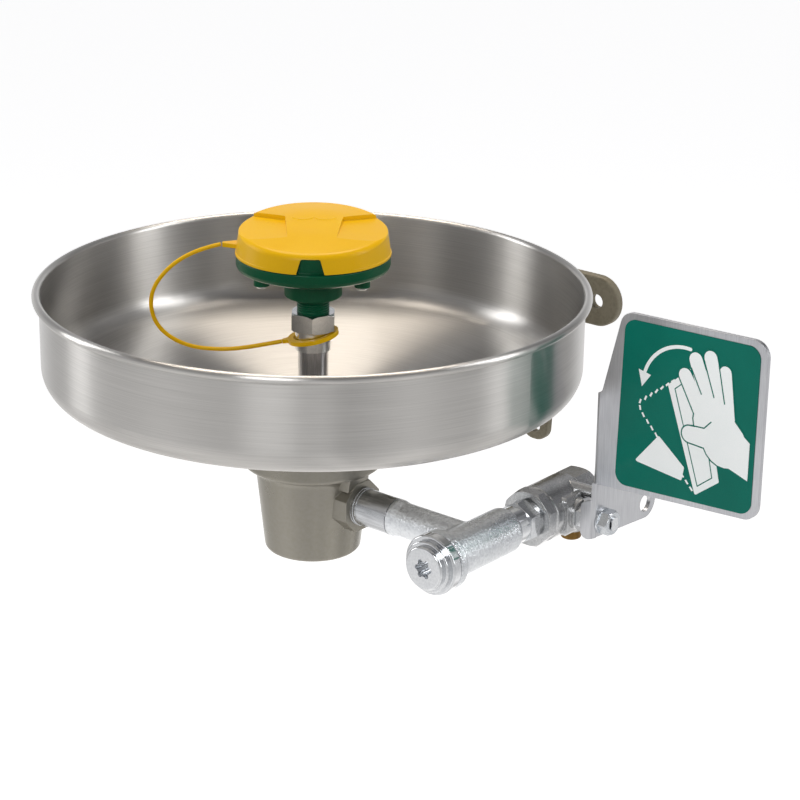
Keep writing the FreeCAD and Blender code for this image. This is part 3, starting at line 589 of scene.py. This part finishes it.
def printed(outlines, name, material, height):
    """Flat shapes, height metres proud of the plate. Outlines are (right, up) in millimetres from its lower left."""
    bm = bmesh.new()
    for outline in outlines:
        front = plate_low.y - height - next(layers) * layer_step
        near = [bm.verts.new((plate_low.x + a / 1000, front, plate_low.z + b / 1000)) for a, b in outline]
        far = [bm.verts.new((v.co.x, plate_low.y + sunk, v.co.z)) for v in near]
        bm.faces.new(near)
        bm.faces.new(list(reversed(far)))
        for i in range(len(near)):
            j = (i + 1) % len(near)
            bm.faces.new((near[j], near[i], far[i], far[j]))
    bmesh.ops.recalc_face_normals(bm, faces=bm.faces)
    mesh = bpy.data.meshes.new(name)
    bm.to_mesh(mesh)
    bm.free()
    mesh.materials.append(material)
    return mounted(name, mesh, "handle")


def capsule(a, b, radius, end_radius=None, steps=10):
    """The outline of a bar with round ends, from a to b."""
    end_radius = end_radius or radius
    heading = math.atan2(b[1] - a[1], b[0] - a[0])
    outline = []
    for centre, size, first in ((a, radius, 90), (b, end_radius, -90)):
        for i in range(steps + 1):
            angle = heading + math.radians(first + 180 * i / steps)
            outline.append((centre[0] + size * math.cos(angle), centre[1] + size * math.sin(angle)))
    return outline


def strokes(points, radius, closed=False):
    """Bars with round ends along a chain of points."""
    ends = points[1:] + points[:1] if closed else points[1:]
    return [capsule(a, b, radius) for a, b in zip(points, ends)]


def arc(centre, radius, first, last, steps=16):
    """Points on an arc, with angles in degrees."""
    for i in range(steps + 1):
        angle = math.radians(first + (last - first) * i / steps)
        yield (centre[0] + radius * math.cos(angle), centre[1] + radius * math.sin(angle))


# %% [markdown]
# A hand is a palm, four fingers and a thumb, each a bar with round ends, and a wrist that runs off the plate. Printed
# once in green a little thicker, and then in white, it gets an even outline. All numbers are millimetres on the plate.


# %% Hand, flag outlines and arrow
def hand_shapes(more):
    """A hand with its wrist at the plate's edge. Each bar is made thicker by more."""
    bars = [
        ((68, 40), (60, 50), 13.5, 12.0),
        ((52.0, 55), (41.5, 72), 4.6, 4.0),
        ((56.5, 60), (47.5, 82), 4.7, 4.1),
        ((63.0, 60), (56.5, 85), 4.6, 4.0),
        ((69.0, 54), (66.0, 79), 4.3, 3.6),
        ((58.0, 40), (46.0, 40), 5.4, 4.6),
    ]
    wrist = [(57 - more, 32), (83.2, 23 - more), (83.2, 44 + more), (72.5 + more, 52)]
    return [capsule(a, b, thick + more, thin + more) for a, b, thick, thin in bars] + [wrist]


creases = (
    strokes([(52.0, 64), (45.0, 77)], 0.35)
    + strokes([(59.8, 64), (52.6, 83)], 0.35)
    + strokes([(66.5, 62), (61.8, 82)], 0.35)
    + strokes([(47, 45.2), (55, 45.6), (59, 50)], 0.35)
)
pushed = [(32, 64), (50, 80), (65, 18), (52, 8)]
inner = [(35.5, 63), (48.5, 74.5), (61.5, 19), (52.8, 12)]
base = [(14, 17), (27, 33), (43, 20), (42, 13.5)]
arrow = list(arc((41, 61), 26, 84, 168))
tip = arrow[-1]
arrow_head = [(tip[0] - 3.6, tip[1] + 2.4), (tip[0] + 4.4, tip[1] + 0.6), (tip[0] - 1.0, tip[1] - 7.0)]
printed(strokes(arrow, 1.0) + [arrow_head], "print_arrow", white_ink, 0.00002)
printed([base] + strokes(base, 0.9, closed=True), "print_base", white_ink, 0.00002)
printed([pushed] + strokes(pushed, 0.9, closed=True), "print_flag", white_ink, 0.00003)
printed(strokes(inner, 0.3, closed=True), "print_flag_line", plate_ink, 0.00005)
printed(hand_shapes(0.8), "print_hand_edge", plate_ink, 0.00007)
printed(hand_shapes(0.0), "print_hand", white_ink, 0.0001)
printed(creases, "print_creases", plate_ink, 0.00013)

# %% [markdown]
# The flag's place before the push is dashed. Dashes are the simplest use of instances on a curve: the tree puts
# points a pitch apart on the outline, turns a small bar along it at each, and makes them real.


# %% Dashes
dash_thickness = 0.00006


def dash_tree(tree):
    """Lays small bars along the base mesh's line, each turned to follow it."""
    given = add(tree, "NodeGroupInput")
    dots = dots_along(tree, given, "Pitch")
    sides_of_bar = {"X": given.outputs["Width"], "Z": given.outputs["Dash"]}
    size = add(tree, "ShaderNodeCombineXYZ", {"Y": dash_thickness}, sides_of_bar)
    bar = add(tree, "GeometryNodeMeshCube", links={"Size": size.outputs["Vector"]})
    follow = {"Vector": dots.outputs["Tangent"]}
    turned = add(tree, "FunctionNodeAlignRotationToVector", links=follow, axis="Z", pivot_axis="Y")
    placed = {
        "Points": dots.outputs["Points"],
        "Instance": bar.outputs["Mesh"],
        "Rotation": turned.outputs["Rotation"],
    }
    bars = add(tree, "GeometryNodeInstanceOnPoints", links=placed)
    end_tree(tree, bars.outputs["Instances"], white_ink)


def on_plate(a, b):
    """A point on the plate's face."""
    return Vector((plate_low.x + a / 1000, plate_low.y - 0.00002, plate_low.z + b / 1000))


before_push = [on_plate(a, b) for a, b in ((34, 67), (13, 50), (15, 45), (49, 9.5))]
dash_sizes = {"Pitch": 0.0042, "Dash": 0.0027, "Width": 0.0011}
from_nodes("print_dashes", dash_tree, dash_sizes, path_mesh(before_push, "dash_line"), "handle")

# %% [markdown]
# ## Floor and light
#
# The studio is plain: a pale floor that glows and so lights the object from below, a broad soft light above, two tall
# soft strips at the sides and a soft key light.
# Metal shows only what it mirrors, so the room matters as much as the lights. It is bright round the horizon, which
# keeps the outside of the bowl light, and darker overhead, which gives the inside its depth. Round the bowl it also
# has lighter and darker stretches, as cards beside a product would give, and these draw the upright bands. A Light
# Path node hides them from the camera itself, so the floor looks plain.

# %% Floor
# Each stretch starts at a share of the whole turn.
side_stops = [
    (0.0, "D2D2D2"),
    (0.06, "C4C4C4"),
    (0.12, "CECECE"),
    (0.19, "E4E4E4"),
    (0.29, "C6C6C6"),
    (0.345, "C0C0C0"),
    (0.367, "E2E2E2"),
    (0.39, "BEBEBE"),
    (0.47, "E6E6E6"),
    (0.56, "B4B4B4"),
    (0.66, "E8E8E8"),
    (0.72, "A0A0A0"),
    (0.79, "FFFFFF"),
    (0.93, "FFFFFF"),
    (1.0, "D2D2D2"),
]


def sides(tree, place):
    """Light and dark stretches round the studio. Only reflections see them, and in plain view it is pale."""
    split = add(tree, "ShaderNodeSeparateXYZ", links={"Vector": place})
    angle = add(tree, "ShaderNodeMath", links={0: split.outputs["Y"], 1: split.outputs["X"]}, operation="ARCTAN2")
    whole = {"From Min": -math.pi, "From Max": math.pi}
    turn = add(tree, "ShaderNodeMapRange", whole, {"Value": angle.outputs["Value"]})
    cards = add(tree, "ShaderNodeValToRGB", links={"Fac": turn.outputs["Result"]}, stops=side_stops)
    seen = add(tree, "ShaderNodeLightPath")
    both = {0: seen.outputs["Is Camera Ray"], mix_a: cards.outputs["Color"]}
    return add(tree, "ShaderNodeMix", {mix_b: colour("FFFFFF")}, both, data_type="RGBA").outputs[mix_result]


floor_bm = bmesh.new()
bmesh.ops.create_grid(floor_bm, x_segments=1, y_segments=1, size=40)
floor_mesh = bpy.data.meshes.new("floor")
floor_bm.to_mesh(floor_mesh)
floor_bm.free()
floor = bpy.data.objects.new("floor", floor_mesh)
floor.location = (0, 0, -1.1)  # metres below the upper wall holes
bpy.context.scene.collection.objects.link(floor)
floor_material, floor_tree, floor_shader = new_material("pale_floor", Roughness=0.9)
floor_place = add(floor_tree, "ShaderNodeTexCoord")
floor_sides = sides(floor_tree, floor_place.outputs["Object"])
floor_tree.links.new(floor_sides, floor_shader.inputs["Base Color"])
# Painted light: the floor glows. Its emission carries the same light and dark stretches, so it lights the object from
# below as a lamp would.
floor_tree.links.new(floor_sides, floor_shader.inputs["Emission Color"])
floor_shader.inputs["Emission Strength"].default_value = 0.7
floor.data.materials.append(floor_material)
print("floor at z", floor.location.z)

# %% [markdown]
# The room's own light comes from the world, pale at eye level and greyer overhead, with the same stretches round it.
# Four rectangular lamps add to it. They are large, so that their reflections have soft ends. The one overhead is
# slightly warm, which shows on the bowl's floor.

# %% Room and lights
scene = bpy.context.scene
scene.view_settings.view_transform = "Standard"
world = bpy.data.worlds.new("studio")
scene.world = world
world.use_nodes = True
room = world.node_tree
direction = add(room, "ShaderNodeTexCoord")
room_split = add(room, "ShaderNodeSeparateXYZ", links={"Vector": direction.outputs["Generated"]})
height = add(room, "ShaderNodeMapRange", {"From Min": -1.0, "From Max": 1.0}, {"Value": room_split.outputs["Z"]})
wall_stops = [(0.0, "FFFFFF"), (0.55, "FAFAFA"), (0.68, "B6B6B8"), (1.0, "808082")]
walls = add(room, "ShaderNodeValToRGB", links={"Fac": height.outputs["Result"]}, stops=wall_stops)
both = {mix_a: walls.outputs["Color"], mix_b: sides(room, direction.outputs["Generated"])}
shaded = add(room, "ShaderNodeMix", {0: 1.0}, both, data_type="RGBA", blend_type="MULTIPLY")
room.links.new(shaded.outputs[mix_result], room.nodes["Background"].inputs["Color"])
room.nodes["Background"].inputs["Strength"].default_value = 1.0


def soft_light(name, place, width, tall, power, aim, tint="FFFFFF"):
    """A rectangular soft light that faces a point."""
    data = bpy.data.lights.new(name, "AREA")
    data.color = colour(tint)[:3]
    data.shape = "RECTANGLE"
    data.size = width
    data.size_y = tall
    data.energy = power
    lamp = bpy.data.objects.new(name, data)
    lamp.location = place
    lamp.rotation_euler = (Vector(aim) - Vector(place)).to_track_quat("-Z", "Y").to_euler()
    bpy.context.scene.collection.objects.link(lamp)


middle = (axis_x + 0.04, axis_y, 0)
soft_light("over", (axis_x - 0.5, axis_y + 0.5, 1.7), 1.4, 0.7, 24, middle, tint="FFF4E6")
soft_light("left", (axis_x - 1.8, axis_y - 0.9, 0.7), 0.5, 1.8, 14, middle)
soft_light("right", (axis_x + 1.5, axis_y + 0.9, 0.9), 0.5, 1.8, 12, middle)
soft_light("key", (axis_x + 1.0, axis_y - 2.2, 1.3), 0.9, 0.9, 20, middle)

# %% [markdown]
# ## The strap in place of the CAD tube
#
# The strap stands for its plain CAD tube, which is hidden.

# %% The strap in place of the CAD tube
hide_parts("tether_strap")
tuple(strap_path[0])
tuple(strap_path[-1])
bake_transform(strap)
tuple(strap_path[0])
[tuple(p) for p in strap_path]
